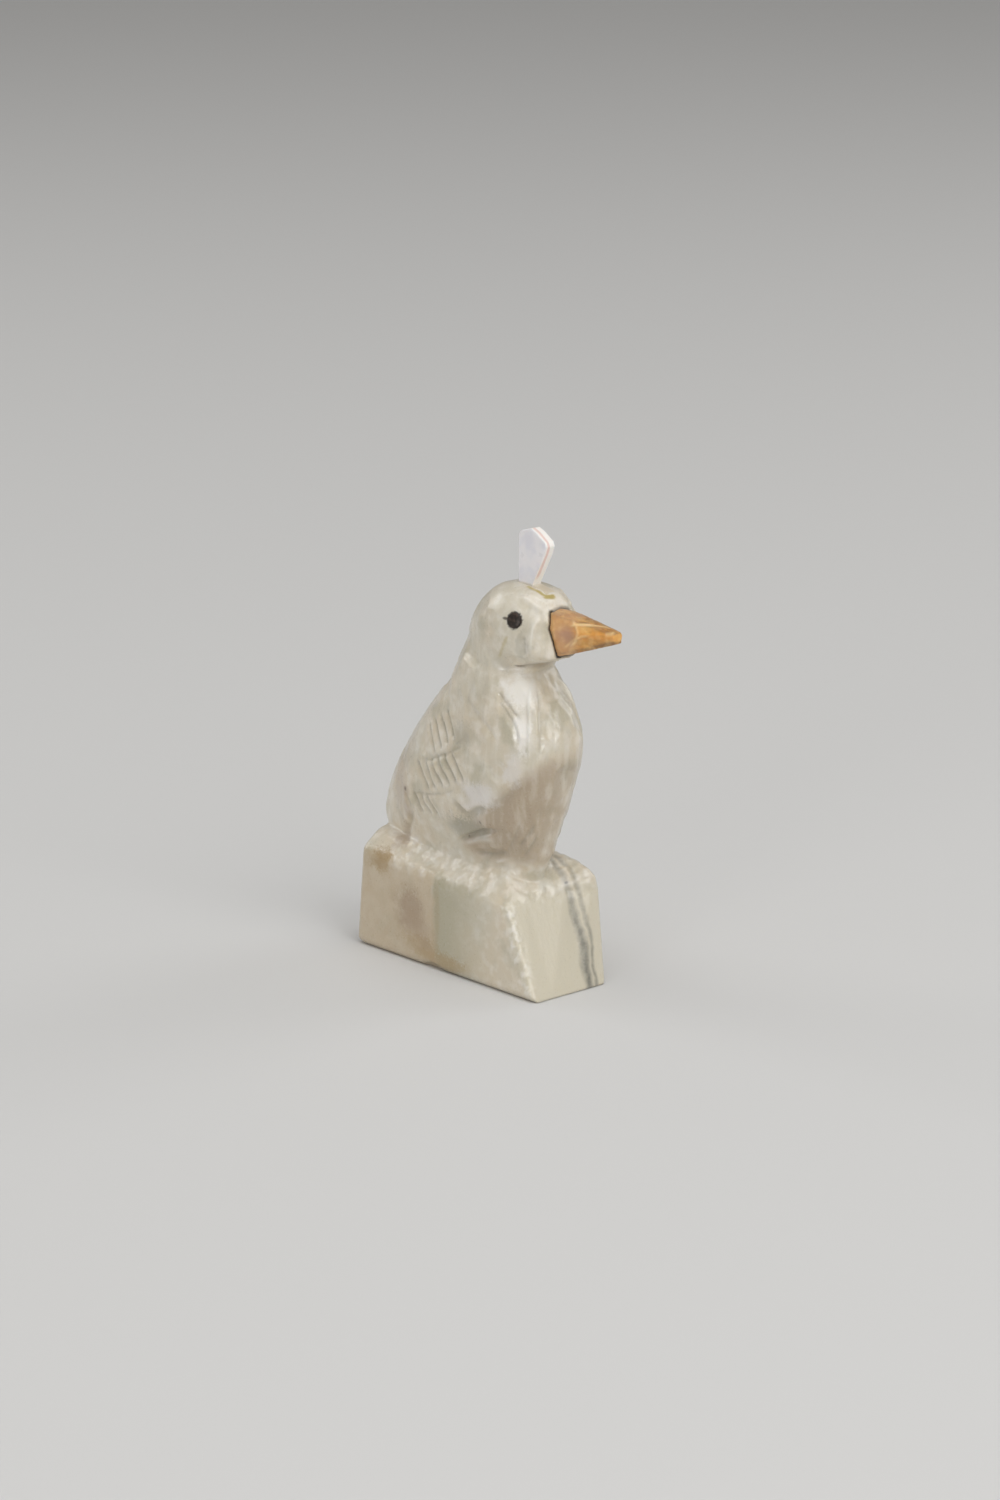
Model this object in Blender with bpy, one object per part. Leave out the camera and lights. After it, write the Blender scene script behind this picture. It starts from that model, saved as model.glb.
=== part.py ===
"""A small quail carved from one stone with the block it stands on, and inlaid beak, crest and eyes.

Frame: metres, +Z up, +X towards the beak, +Y to the bird's left.
The origin is the middle of the block's flat underside.
"""
import math

import bmesh
import bpy
import numpy as np
from mathutils import Matrix, Vector

MM = 0.001

# The block: its underside, its highest place, and the rounding of its edges.
BLOCK_LENGTH = 26.0 * MM
BLOCK_WIDTH = 9.4 * MM
BLOCK_HEIGHT = 12.2 * MM
REAR_LEAN = 0.75 * MM
SHOULDER_RUN = 2.4 * MM
EDGE_ROUND = 0.9 * MM
FRONT_RIGHT_ROUND = 0.35 * MM
UNDER_CHAMFER = 0.2 * MM

# The block from its right side to its left, as shares: across at the underside and at the top,
# of half the width, how far the front leans back, of the length, and then the height of the top
# at the front, behind the shoulder and at the rear.
BLOCK_SECTIONS = (
    (-1.00, -0.96, 0.168, 0.71, 0.70, 0.82),
    (-0.50, -0.50, 0.160, 0.75, 0.93, 0.95),
    (0.40, 0.45, 0.130, 0.82, 0.95, 1.00),
    (0.85, 0.98, 0.095, 0.93, 0.97, 0.99),
    (1.00, 1.16, 0.070, 0.78, 0.82, 0.86),
)

# Chip out of the block's lower right edge: its place along the block, length, height and depth.
CHIP_PLACE = -1.7 * MM
CHIP_LENGTH = 3.0 * MM
CHIP_HEIGHT = 0.7 * MM
CHIP_DEPTH = 0.5 * MM

# The bird, from its feet to its crown. Its pose and carving are shares of this, about an upright
# line that stands this far in front of the block's rear, where the tail ends.
BIRD_HEIGHT = 28.0 * MM
FEET_SINK = 0.9 * MM
LINE_FROM_REAR = 13.0 * MM

# Beak, a tapered peg in a slot cut into the front of the head.
BEAK_LENGTH = 6.75 * MM
BEAK_ROOT_HEIGHT = 4.2 * MM
BEAK_ROOT_WIDTH = 3.0 * MM
BEAK_TIP_HEIGHT = 1.1 * MM
BEAK_TIP_WIDTH = 1.1 * MM
BEAK_TIP_RISE = 0.72 * MM
BEAK_TENON = 1.3 * MM

# Crest, a slab of shell in a slot along the crown, with a toe that lies flush in front of it.
CREST_HEIGHT = 5.35 * MM
CREST_THICKNESS = 1.15 * MM
CREST_FOOT_LENGTH = 1.85 * MM
CREST_SPREAD = 3.8 * MM
CREST_TANG = 1.5 * MM
CREST_TOE = 2.0 * MM

# Eyes, round plugs in drilled holes.
EYE_DIAMETER = 1.5 * MM
EYE_DEPTH = 1.2 * MM
EYE_DOME = 0.14 * MM

# Space left around each inlay in its slot or hole.
INLAY_GAP = 0.25 * MM

# Feather cuts, how far apart they are, and the finer lines, all filed with a round edge.
CUT_WIDTH = 0.75 * MM
CUT_DEPTH = 0.26 * MM
CUT_SPACING = 1.18 * MM
LINE_WIDTH = 0.5 * MM
LINE_DEPTH = 0.2 * MM

# Section of the beak and side view of the crest above the crown, as shares of their halves
# and of the crest's spread and height.
BEAK_SECTION = ((0.0, 1.0), (0.7, 0.86), (1.0, 0.2), (0.75, -1.0), (-0.75, -1.0), (-1.0, 0.2), (-0.7, 0.86))
BEAK_STEPS = 5
BEAK_FULLNESS = 0.03
CREST_OUTLINE = ((0.92, 0.57), (1.0, 0.72), (0.95, 0.80), (0.67, 0.93), (0.45, 1.0), (0.1, 0.93), (0.0, 0.85))

# How finely forms are cut into faces. A groove's pointed end runs on by its own radius twice.
RING_POINTS = 48
STEPS_PER_STATION = 3
ROUNDING_STEPS = 4
GROOVE_SIDES = 8
GROOVE_STOPS = (0.15, 0.5, 0.85)
GROOVE_TIP = 2.0
EYE_SIDES = 24

# Stations up the bird, as shares of its height: height above the feet, back, front and half the
# width. Then how much the plan narrows to the rear, and its power, which is 2 for an ellipse and
# more for a rounded box. The jaw juts out above the throat.
STATIONS = (
    (-0.200, -0.390, 0.240, 0.105, 0.20, 2.3),
    (-0.040, -0.438, 0.300, 0.100, 0.20, 2.3),
    (0.050, -0.466, 0.345, 0.123, 0.20, 2.3),
    (0.115, -0.447, 0.365, 0.155, 0.22, 2.3),
    (0.180, -0.420, 0.381, 0.178, 0.24, 2.3),
    (0.310, -0.345, 0.424, 0.190, 0.22, 2.3),
    (0.420, -0.268, 0.453, 0.184, 0.20, 2.3),
    (0.525, -0.178, 0.438, 0.172, 0.16, 2.3),
    (0.600, -0.106, 0.391, 0.160, 0.12, 2.3),
    (0.670, -0.061, 0.332, 0.147, 0.06, 2.2),
    (0.700, -0.048, 0.326, 0.140, 0.03, 2.1),
    (0.730, -0.038, 0.378, 0.130, 0.00, 2.0),
    (0.768, -0.022, 0.460, 0.135, 0.00, 2.0),
    (0.805, -0.004, 0.455, 0.139, 0.00, 2.0),
    (0.850, 0.017, 0.446, 0.139, 0.00, 2.0),
    (0.900, 0.053, 0.420, 0.131, 0.00, 2.0),
    (0.940, 0.092, 0.396, 0.110, 0.00, 2.0),
    (0.968, 0.135, 0.361, 0.078, 0.00, 2.1),
    (0.985, 0.192, 0.292, 0.038, 0.00, 2.2),
)

# Where the inlays sit, as shares of the bird's height: the middle of the beak's root, forward
# and up, the rear of the crest's foot, forward, and the middle of an eye.
BEAK_PLACE = (0.439, 0.848)
CREST_PLACE = 0.218
EYE_PLACE = (0.310, 0.886)

# Rows of feather cuts on each wing: the tops of the first and the last cut and the run of one cut,
# as shares of the bird's height forward and up.
FEATHER_ROWS = (
    ((-0.122, 0.436), (-0.014, 0.5065), (0.052, -0.082)),
    ((-0.168, 0.298), (0.027, 0.373), (0.070, -0.080)),
    ((-0.198, 0.182), (-0.114, 0.190), (0.056, -0.055)),
)
# Lines of the carving on both sides, each through its points from front to rear.
CREASES = {
    "under first feathers": ((0.024, 0.374), (-0.040, 0.352), (-0.110, 0.331)),
    "under second feathers": ((0.022, 0.257), (-0.060, 0.224), (-0.150, 0.205), (-0.225, 0.192)),
    "wing tip": ((-0.224, 0.156), (-0.197, 0.124), (-0.236, 0.080), (-0.285, 0.040)),
    "flank notch": ((0.112, 0.160), (0.076, 0.180), (0.040, 0.198)),
    "upper leg": ((0.234, 0.144), (0.150, 0.110), (0.054, 0.084)),
    "lower leg": ((0.279, 0.095), (0.200, 0.064), (0.129, 0.050)),
    "jaw": ((0.428, 0.750), (0.385, 0.738), (0.330, 0.724), (0.278, 0.714)),
}

FEET_HEIGHT = BLOCK_HEIGHT - FEET_SINK
BIRD_LINE = LINE_FROM_REAR - BLOCK_LENGTH / 2


def place(forward, up):
    """Place along the bird and height, in metres, from shares of its height."""
    return BIRD_LINE + forward * BIRD_HEIGHT, FEET_HEIGHT + up * BIRD_HEIGHT


def fine_rows(stations):
    """Rows of a form in metres, on a smooth run through its stations."""
    table = np.array(stations) * (BIRD_HEIGHT, BIRD_HEIGHT, BIRD_HEIGHT, BIRD_HEIGHT, 1.0, 1.0)
    table[:, 0] += FEET_HEIGHT
    table[:, 1:3] += BIRD_LINE
    slopes = np.gradient(table, axis=0)
    rows = []
    for start, end, leave, arrive in zip(table[:-1], table[1:], slopes[:-1], slopes[1:]):
        for step in range(STEPS_PER_STATION):
            t = step / STEPS_PER_STATION
            eased = t * t * (3 - 2 * t)
            bend = leave * t * (1 - t) ** 2 - arrive * t * t * (1 - t)
            rows.append(start * (1 - eased) + end * eased + bend)
    rows.append(table[-1])
    return np.array(rows)


def ring(row):
    """Points of one level of a form, an oval that can narrow to the rear."""
    height, back, front, half_width, narrowing, power = row
    points = []
    for index in range(RING_POINTS):
        angle = 2 * math.pi * index / RING_POINTS
        along = math.copysign(abs(math.cos(angle)) ** (2 / power), math.cos(angle))
        across = math.copysign(abs(math.sin(angle)) ** (2 / power), math.sin(angle))
        width = half_width * (1 - narrowing * (1 - along) / 2)
        x = (back + front) / 2 + (front - back) / 2 * along
        points.append(Vector((x, width * across, height)))
    return points


def side_point(rows, x, height, side):
    """Point of a form's side at a place along it and a height."""
    back, front, half_width, narrowing, power = (
        float(np.interp(height, rows[:, 0], rows[:, column])) for column in range(1, 6)
    )
    along = min(max((x - (back + front) / 2) / ((front - back) / 2), -1.0), 1.0)
    across = (1 - abs(along) ** power) ** (1 / power)
    width = half_width * (1 - narrowing * (1 - along) / 2)
    return Vector((x, side * width * across, height))


def side_normal(rows, x, height, side):
    """Outward direction of a form's side."""
    step = BIRD_HEIGHT / 200
    forward = side_point(rows, x + step, height, side) - side_point(rows, x - step, height, side)
    upward = side_point(rows, x, height + step, side) - side_point(rows, x, height - step, side)
    return forward.cross(upward).normalized() * -side


def crown_height(rows, x):
    """Height of the top of the head at a place in front of its middle."""
    upper = rows[-4 * STEPS_PER_STATION:][::-1]
    return float(np.interp(x, upper[:, 2], upper[:, 0]))


def skin(levels):
    """Closed mesh through rings of equal counts."""
    mesh = bmesh.new()
    rings = [[mesh.verts.new(point) for point in level] for level in levels]
    for lower, upper in zip(rings[:-1], rings[1:]):
        bridge(mesh, lower, upper)
    mesh.faces.new(rings[0])
    mesh.faces.new(rings[-1])
    bmesh.ops.recalc_face_normals(mesh, faces=mesh.faces)
    return mesh


def bridge(mesh, lower, upper):
    """Faces between two rings of equal counts."""
    for index, vert in enumerate(lower):
        following = (index + 1) % len(lower)
        mesh.faces.new((vert, lower[following], upper[following], upper[index]))


def box(low, high):
    """Closed box between two corners."""
    mesh = bmesh.new()
    size = Vector(high) - Vector(low)
    middle = (Vector(high) + Vector(low)) / 2
    bmesh.ops.create_cube(mesh, size=1.0, matrix=Matrix.Translation(middle) @ Matrix.Diagonal((*size, 1.0)))
    return mesh


def add_object(name, mesh, material=None):
    """Object of a finished bmesh. Without a material it is a guide that isn't rendered."""
    data = bpy.data.meshes.new(name)
    mesh.to_mesh(data)
    mesh.free()
    item = bpy.data.objects.new(name, data)
    bpy.context.collection.objects.link(item)
    if material is None:
        item.hide_render = True
        item.display_type = "WIRE"
    else:
        data.materials.append(material)
    return item


def add_material(name, colour, roughness):
    """Plain Principled material."""
    material = bpy.data.materials.new(name)
    material.use_nodes = True
    shader = material.node_tree.nodes["Principled BSDF"]
    shader.inputs["Base Color"].default_value = (*colour, 1.0)
    shader.inputs["Roughness"].default_value = roughness
    shader.inputs["Metallic"].default_value = 0.0
    return material


def combine(item, tool, operation):
    """Boolean of an object with a guide."""
    modifier = item.modifiers.new(tool.name, "BOOLEAN")
    modifier.operation = operation
    modifier.solver = "EXACT"
    modifier.use_self = True
    modifier.object = tool


def block_mesh():
    """The block: a flat underside, a front that leans back and a top that falls to the right."""
    front = BLOCK_LENGTH / 2
    half_width = BLOCK_WIDTH / 2
    sections = []
    for under, over, lean, front_top, shoulder_top, rear_top in BLOCK_SECTIONS:
        top_front = front - lean * BLOCK_LENGTH
        sections.append([
            Vector((-front, under * half_width, 0)),
            Vector((front, under * half_width, 0)),
            Vector((top_front, over * half_width, front_top * BLOCK_HEIGHT)),
            Vector((top_front - SHOULDER_RUN, over * half_width, shoulder_top * BLOCK_HEIGHT)),
            Vector((-front + REAR_LEAN, over * half_width, rear_top * BLOCK_HEIGHT)),
        ])
    mesh = skin(sections)
    weights = mesh.edges.layers.float.new("bevel_weight_edge")
    for edge in mesh.edges:
        edge[weights] = edge_round(edge) / EDGE_ROUND
    return mesh


def edge_round(edge):
    """Rounding of one edge of the block, from where it runs. Shallow edges stay."""
    low, high = sorted((vert.co for vert in edge.verts), key=lambda point: point.z)
    if edge.calc_face_angle() < math.radians(20):
        return 0.0
    if high.z < UNDER_CHAMFER:
        return UNDER_CHAMFER
    if low.z < UNDER_CHAMFER and low.x > 0 and low.y < 0:
        return FRONT_RIGHT_ROUND
    return EDGE_ROUND


def add_groove(mesh, rows, path, side, width, depth):
    """Add a round-bellied cutter, pointed at both ends, along places on a form's side."""
    radius = (width**2 / 4 + depth**2) / (2 * depth)
    outs = [side_normal(rows, x, height, side) for x, height in path]
    centres = [
        side_point(rows, x, height, side) + out * (radius - depth)
        for (x, height), out in zip(path, outs)
    ]
    rings = []
    for index, (centre, out) in enumerate(zip(centres, outs)):
        along = (centres[min(index + 1, len(centres) - 1)] - centres[max(index - 1, 0)]).normalized()
        across = along.cross(out).normalized()
        upright = across.cross(along)
        rings.append([
            mesh.verts.new(centre + (across * math.cos(angle) + upright * math.sin(angle)) * radius)
            for angle in (2 * math.pi * step / GROOVE_SIDES for step in range(GROOVE_SIDES))
        ])
    for lower, upper in zip(rings[:-1], rings[1:]):
        bridge(mesh, lower, upper)
    for end, beyond, circle in ((centres[0], centres[1], rings[0]), (centres[-1], centres[-2], rings[-1])):
        tip = mesh.verts.new(end + (end - beyond).normalized() * radius * GROOVE_TIP)
        for index, vert in enumerate(circle):
            mesh.faces.new((vert, circle[(index + 1) % GROOVE_SIDES], tip))


def feather_cutters(rows):
    """All feather cuts of both wings."""
    mesh = bmesh.new()
    for side in (-1, 1):
        for first, last, run in FEATHER_ROWS:
            gaps = max(round(math.dist(place(*first), place(*last)) / CUT_SPACING), 1)
            for index in range(gaps + 1):
                top = Vector(first).lerp(Vector(last), index / gaps)
                path = [place(*(top + Vector(run) * t)) for t in GROOVE_STOPS]
                add_groove(mesh, rows, path, side, CUT_WIDTH, CUT_DEPTH)
    bmesh.ops.recalc_face_normals(mesh, faces=mesh.faces)
    return mesh


def crease_cutters(rows):
    """The lines of the carving on both sides."""
    mesh = bmesh.new()
    for side in (-1, 1):
        for points in CREASES.values():
            add_groove(mesh, rows, [place(*point) for point in points], side, LINE_WIDTH, LINE_DEPTH)
    bmesh.ops.recalc_face_normals(mesh, faces=mesh.faces)
    return mesh


def chip_cutter():
    """The chip out of the block's lower right edge."""
    mesh = bmesh.new()
    middle = Matrix.Translation((CHIP_PLACE, -BLOCK_WIDTH / 2, 0))
    size = Matrix.Diagonal((CHIP_LENGTH / 2, CHIP_DEPTH, CHIP_HEIGHT, 1.0))
    bmesh.ops.create_icosphere(mesh, subdivisions=2, radius=1.0, matrix=middle @ size)
    return mesh


def beak_mesh():
    """The beak, its tenon behind the root plane and its tip in front, about the root's middle."""
    levels = []
    for x in (-BEAK_TENON, *(BEAK_LENGTH * step / BEAK_STEPS for step in range(BEAK_STEPS + 1))):
        t = max(x, 0.0) / BEAK_LENGTH
        full = 1 + BEAK_FULLNESS * 4 * t * (1 - t)
        half_width = (BEAK_ROOT_WIDTH + (BEAK_TIP_WIDTH - BEAK_ROOT_WIDTH) * t) / 2 * full
        half_height = (BEAK_ROOT_HEIGHT + (BEAK_TIP_HEIGHT - BEAK_ROOT_HEIGHT) * t) / 2 * full
        rise = BEAK_TIP_RISE * t
        levels.append([Vector((x, half_width * a, rise + half_height * b)) for a, b in BEAK_SECTION])
    return skin(levels)


def beak_slot(x, height):
    """Cutter for the slot that holds the beak's tenon."""
    half_width = BEAK_ROOT_WIDTH / 2 + INLAY_GAP
    half_height = BEAK_ROOT_HEIGHT / 2 + INLAY_GAP
    return box(
        (x - BEAK_TENON - INLAY_GAP, -half_width, height - half_height),
        (x + BEAK_LENGTH / 2, half_width, height + half_height),
    )


def crest_mesh(toe_drop):
    """The crest about the rear of its foot on the crown, with its tang below and its toe in front."""
    toe_end = CREST_FOOT_LENGTH + CREST_TOE
    outline = [(0.0, -CREST_TANG), (toe_end, -CREST_TANG), (toe_end, -toe_drop), (CREST_FOOT_LENGTH, 0.0)]
    outline += [(CREST_SPREAD * forward, CREST_HEIGHT * up) for forward, up in CREST_OUTLINE]
    half = CREST_THICKNESS / 2
    return skin([[Vector((x, y, z)) for x, z in outline] for y in (-half, half)])


def crest_slot(x, crown):
    """Cutter for the slot that holds the crest's tang and toe."""
    half_width = CREST_THICKNESS / 2 + INLAY_GAP
    toe_end = x + CREST_FOOT_LENGTH + CREST_TOE
    return box(
        (x - INLAY_GAP, -half_width, crown - CREST_TANG - INLAY_GAP),
        (toe_end + INLAY_GAP, half_width, crown + CREST_HEIGHT),
    )


def round_plug(radius, depth, dome):
    """Round plug along local Z, its mouth at zero, its front domed."""
    profile = [(radius, -depth), (radius, 0.0)]
    profile += [(radius * math.cos(angle), dome * math.sin(angle)) for angle in (0.5, 1.0, 1.4)]
    return skin([
        [
            Vector((r * math.cos(2 * math.pi * k / EYE_SIDES), r * math.sin(2 * math.pi * k / EYE_SIDES), z))
            for k in range(EYE_SIDES)
        ]
        for r, z in profile
    ])


def main():
    for item in list(bpy.data.objects):
        bpy.data.objects.remove(item)

    stone = add_material("stone", (0.74, 0.70, 0.60), 0.32)
    amber = add_material("amber", (0.80, 0.45, 0.16), 0.35)
    shell = add_material("shell", (0.86, 0.80, 0.82), 0.28)
    dark = add_material("dark eye", (0.05, 0.035, 0.03), 0.25)
    rows = fine_rows(STATIONS)

    figure = add_object("figure", block_mesh(), stone)
    rounding = figure.modifiers.new("edge rounding", "BEVEL")
    rounding.limit_method = "WEIGHT"
    rounding.width = EDGE_ROUND
    rounding.segments = ROUNDING_STEPS
    combine(figure, add_object("bird form", skin([ring(row) for row in rows])), "UNION")
    combine(figure, add_object("feather cutters", feather_cutters(rows)), "DIFFERENCE")
    combine(figure, add_object("crease cutters", crease_cutters(rows)), "DIFFERENCE")
    combine(figure, add_object("chip cutter", chip_cutter()), "DIFFERENCE")

    beak_x, beak_height = place(*BEAK_PLACE)
    beak = add_object("beak", beak_mesh(), amber)
    beak.location = (beak_x, 0, beak_height)
    beak.parent = figure
    combine(figure, add_object("beak slot", beak_slot(beak_x, beak_height)), "DIFFERENCE")

    crest_x, _ = place(CREST_PLACE, 1.0)
    crown = crown_height(rows, crest_x + CREST_FOOT_LENGTH)
    toe_drop = crown - crown_height(rows, crest_x + CREST_FOOT_LENGTH + CREST_TOE)
    crest = add_object("crest", crest_mesh(toe_drop), shell)
    crest.location = (crest_x, 0, crown)
    crest.parent = figure
    combine(figure, add_object("crest slot", crest_slot(crest_x, crown)), "DIFFERENCE")

    eye_x, eye_height = place(*EYE_PLACE)
    for name, side in (("eye_right", -1), ("eye_left", 1)):
        outward = side_normal(rows, eye_x, eye_height, side)
        turn = outward.to_track_quat("Z", "Y")
        spot = side_point(rows, eye_x, eye_height, side)
        eye = add_object(name, round_plug(EYE_DIAMETER / 2, EYE_DEPTH, EYE_DOME), dark)
        eye.location = spot
        eye.rotation_mode = "QUATERNION"
        eye.rotation_quaternion = turn
        eye.parent = figure
        hole_radius = EYE_DIAMETER / 2 + INLAY_GAP
        hole = add_object(name + " hole", round_plug(hole_radius, EYE_DEPTH + INLAY_GAP, EYE_DEPTH))
        hole.location = spot
        hole.rotation_mode = "QUATERNION"
        hole.rotation_quaternion = turn
        combine(figure, hole, "DIFFERENCE")


if __name__ == "__main__":
    main()
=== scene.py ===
"""Looks of the quail fetish carving: carved stone, inlaid beak, crest and eyes, and a plain stage.

Frame: metres, +Z up, +X towards the beak, +Y to the bird's left. Tables are in millimetres.
"""
import math

import bmesh
import bpy
import numpy as np
from bpy.props import FloatProperty, FloatVectorProperty, PointerProperty
from mathutils import Matrix, Vector, noise
from mathutils.bvhtree import BVHTree


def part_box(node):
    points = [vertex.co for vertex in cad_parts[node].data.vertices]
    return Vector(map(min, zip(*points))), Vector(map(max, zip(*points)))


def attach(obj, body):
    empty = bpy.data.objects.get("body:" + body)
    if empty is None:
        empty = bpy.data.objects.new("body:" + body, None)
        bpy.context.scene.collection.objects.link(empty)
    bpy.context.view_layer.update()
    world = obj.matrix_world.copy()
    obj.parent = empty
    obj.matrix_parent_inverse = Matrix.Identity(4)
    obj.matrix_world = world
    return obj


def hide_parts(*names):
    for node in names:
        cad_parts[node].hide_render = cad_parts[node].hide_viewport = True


bl_info = {
    "name": "Quail fetish carving",
    "version": (1, 0, 0),
    "blender": (4, 5, 0),
    "location": "3D View > Sidebar > Quail",
    "description": "Dresses the packed quail carving and sets it on a plain stage",
    "category": "Object",
}

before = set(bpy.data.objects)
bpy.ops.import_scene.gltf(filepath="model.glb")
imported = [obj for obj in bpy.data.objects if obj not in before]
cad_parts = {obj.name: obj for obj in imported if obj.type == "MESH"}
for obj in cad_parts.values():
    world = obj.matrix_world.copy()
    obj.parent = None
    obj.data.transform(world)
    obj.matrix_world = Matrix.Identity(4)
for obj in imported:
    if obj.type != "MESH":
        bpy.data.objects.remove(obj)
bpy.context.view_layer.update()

MM = 0.001
MERGE = 1e-6
X, Y, Z = range(3)

# Directions in which each face of the carving looks, and how a place drawn on it becomes a point
# in front of it.
FAR = 60.0
FACES = {
    "right": (Vector((0, 1, 0)), lambda a, b: Vector((a, -FAR, b))),
    "left": (Vector((0, -1, 0)), lambda a, b: Vector((a, FAR, b))),
    "front": (Vector((-1, 0, 0)), lambda a, b: Vector((FAR, a, b))),
    "top": (Vector((0, 0, -1)), lambda a, b: Vector((a, b, FAR))),
}

# Feather rows on each wing, forward and up: the tops of the first and the last cut, the run of one
# cut and how many.
FEATHERS = (
    ((-3.4, 23.5), (-0.4, 25.5), (1.46, -2.30), 4),
    ((-4.7, 19.6), (0.8, 21.7), (1.96, -2.24), 6),
    ((-5.5, 16.4), (-3.2, 16.6), (1.57, -1.54), 3),
)

# A feather cut's steps along its run, how far it sags between them, the lean of its deepest line
# and the dirt and painted shade that darken it. The ridge beside it, painted pale as bruise and
# painted highlight: how far in front, and its width and height as shares of the cut's.
FEATHER_STEPS = (-0.25, 0.25, 0.7, 1.12)
FEATHER_SAG = 0.25
FEATHER_LEAN = 0.35
FEATHER_DIRT_AND_SHADE = 0.5
FEATHER_RIDGE = np.array((0.5, 0.0, 0.0))
RIDGE_WIDTH = 0.7
RIDGE_HEIGHT = 0.25

# Lines carved into both halves: the face they are drawn on, path, half the width, depth, lean of
# the deepest line across the cut, and how much dirt and painted shade darken it. A path is forward
# and up on the side, and across and up on the front. A line with a negative depth is a ridge,
# painted pale as bruise and painted highlight.
LINES = {
    "under first feathers": (
        "side", ((-4.9, 20.3), (-3.4, 20.4), (-1.1, 21.3), (0.5, 22.1), (2.4, 23.0), (3.2, 24.0)),
        0.60, 0.12, -0.2, 0.5,
    ),
    "hollow by first feathers": (
        "side", ((0.9, 23.0), (2.4, 23.4), (3.4, 24.6)), 1.10, 0.10, 0.0, 0.3,
    ),
    "under second feathers": (
        "side", ((-6.3, 16.6), (-4.1, 16.9), (-2.2, 17.2), (0.4, 18.0), (2.4, 19.2)),
        0.40, 0.10, -0.3, 0.4,
    ),
    "tail": (
        "side", ((-7.2, 16.6), (-6.3, 15.2), (-6.2, 14.1), (-7.6, 12.4), (-8.3, 11.3)),
        0.60, 0.22, 0.0, 0.3,
    ),
    "flank notch": (
        "side",
        ((0.4, 17.0), (1.4, 16.6), (2.4, 15.9), (3.1, 15.6),
         (3.8, 16.3), (4.9, 16.9), (5.9, 16.6)),
        0.90, 0.38, 0.62, 0.5,
    ),
    "belly edge": (
        "side", ((5.3, 16.4), (6.2, 16.8), (7.6, 17.9), (9.1, 19.3), (10.0, 21.0)),
        1.00, 0.18, 0.7, 0.1,
    ),
    "recess": ("side", ((0.2, 14.9), (1.6, 14.9), (3.6, 15.2), (5.4, 15.6)), 1.30, 0.30, 0.0, 0.2),
    "upper leg": (
        "side", ((0.2, 12.6), (2.6, 13.9), (5.2, 15.0), (6.8, 15.3)), 0.50, 0.36, 0.4, 0.7,
    ),
    "pale leg": ("side", ((1.2, 12.9), (4.0, 13.9), (6.3, 14.5)), 0.55, -0.18, 0.0, 0.0),
    "lower leg": ("side", ((2.2, 12.2), (4.5, 12.5), (7.1, 13.1)), 0.70, 0.32, -0.1, 0.6),
    "foot ridge": ("side", ((4.9, 11.7), (6.2, 12.2), (7.6, 12.5)), 0.30, -0.18, 0.0, 0.0),
    "first streak": ("side", ((8.0, 13.6), (9.5, 15.2), (10.2, 16.5)), 0.42, 0.20, 0.4, 0.25),
    "second streak": ("side", ((8.1, 12.5), (9.4, 13.9), (10.1, 15.4)), 0.42, 0.20, 0.4, 0.25),
    "third streak": ("side", ((6.6, 12.9), (8.3, 14.9), (9.3, 16.8)), 0.50, 0.10, 0.4, 0.2),
    "jaw": ("side", ((7.8, 31.2), (8.6, 31.3), (10.2, 31.7), (11.4, 32.2)), 0.45, 0.20, 0.3, 0.4),
    "wing front": (
        "side",
        ((4.0, 30.2), (2.9, 29.0), (2.4, 27.6), (3.2, 26.7),
         (4.5, 26.1), (6.5, 24.6), (7.2, 23.6)),
        0.70, 0.12, 0.6, 0.0,
    ),
    "first chisel cut": (
        "side", ((6.6, 29.2), (8.1, 28.0), (9.3, 27.0), (9.8, 26.7)), 0.42, 0.20, -0.5, 0.1,
    ),
    "second chisel cut": (
        "side", ((6.5, 28.3), (8.1, 27.0), (8.9, 26.0), (9.3, 25.1), (9.4, 24.0)),
        0.50, 0.20, 0.6, 0.1,
    ),
    "breast ridge": (
        "side", ((8.9, 30.4), (9.6, 29.0), (10.4, 27.1), (10.8, 24.8), (10.7, 22.6)),
        0.45, -0.14, -0.4, 0.0,
    ),
    "shade by the ridge": (
        "front", ((-0.9, 30.0), (-1.3, 28.9), (-2.2, 27.1), (-2.6, 24.9), (-2.6, 22.9)),
        0.55, 0.16, -0.5, 0.25,
    ),
    "upper breast cut": (
        "front", ((-0.9, 28.4), (-1.4, 27.4), (-1.5, 26.6)), 0.34, -0.08, 0.3, 0.0,
    ),
    "front breast cut": (
        "front", ((-0.5, 27.8), (-0.9, 26.6), (-1.0, 25.6)), 0.34, -0.08, 0.3, 0.0,
    ),
    "middle breast cut": (
        "front", ((-1.4, 25.9), (-1.6, 24.9), (-1.5, 23.9)), 0.34, -0.07, 0.3, 0.0,
    ),
    "throat cut": ("front", ((-0.5, 30.6), (-0.8, 29.6), (-0.8, 28.6)), 0.5, 0.08, 0.3, 0.1),
    "cheek edge": (
        "side", ((10.4, 36.9), (10.45, 35.8), (10.35, 34.6), (10.15, 32.9)), 0.55, -0.16, 0.4, 0.0,
    ),
    "cheek hollow": ("side", ((9.6, 34.6), (9.75, 33.9), (9.6, 32.8)), 0.50, 0.14, 0.3, 0.1),
    "brow edge": (
        "side", ((8.2, 38.1), (9.3, 37.9), (10.4, 37.3), (10.9, 36.9)), 0.50, -0.18, 0.2, 0.0,
    ),
    "neck crease": ("side", ((7.9, 31.0), (6.6, 31.1), (5.4, 31.4)), 0.6, 0.10, 0.2, 0.1),
}

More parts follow.
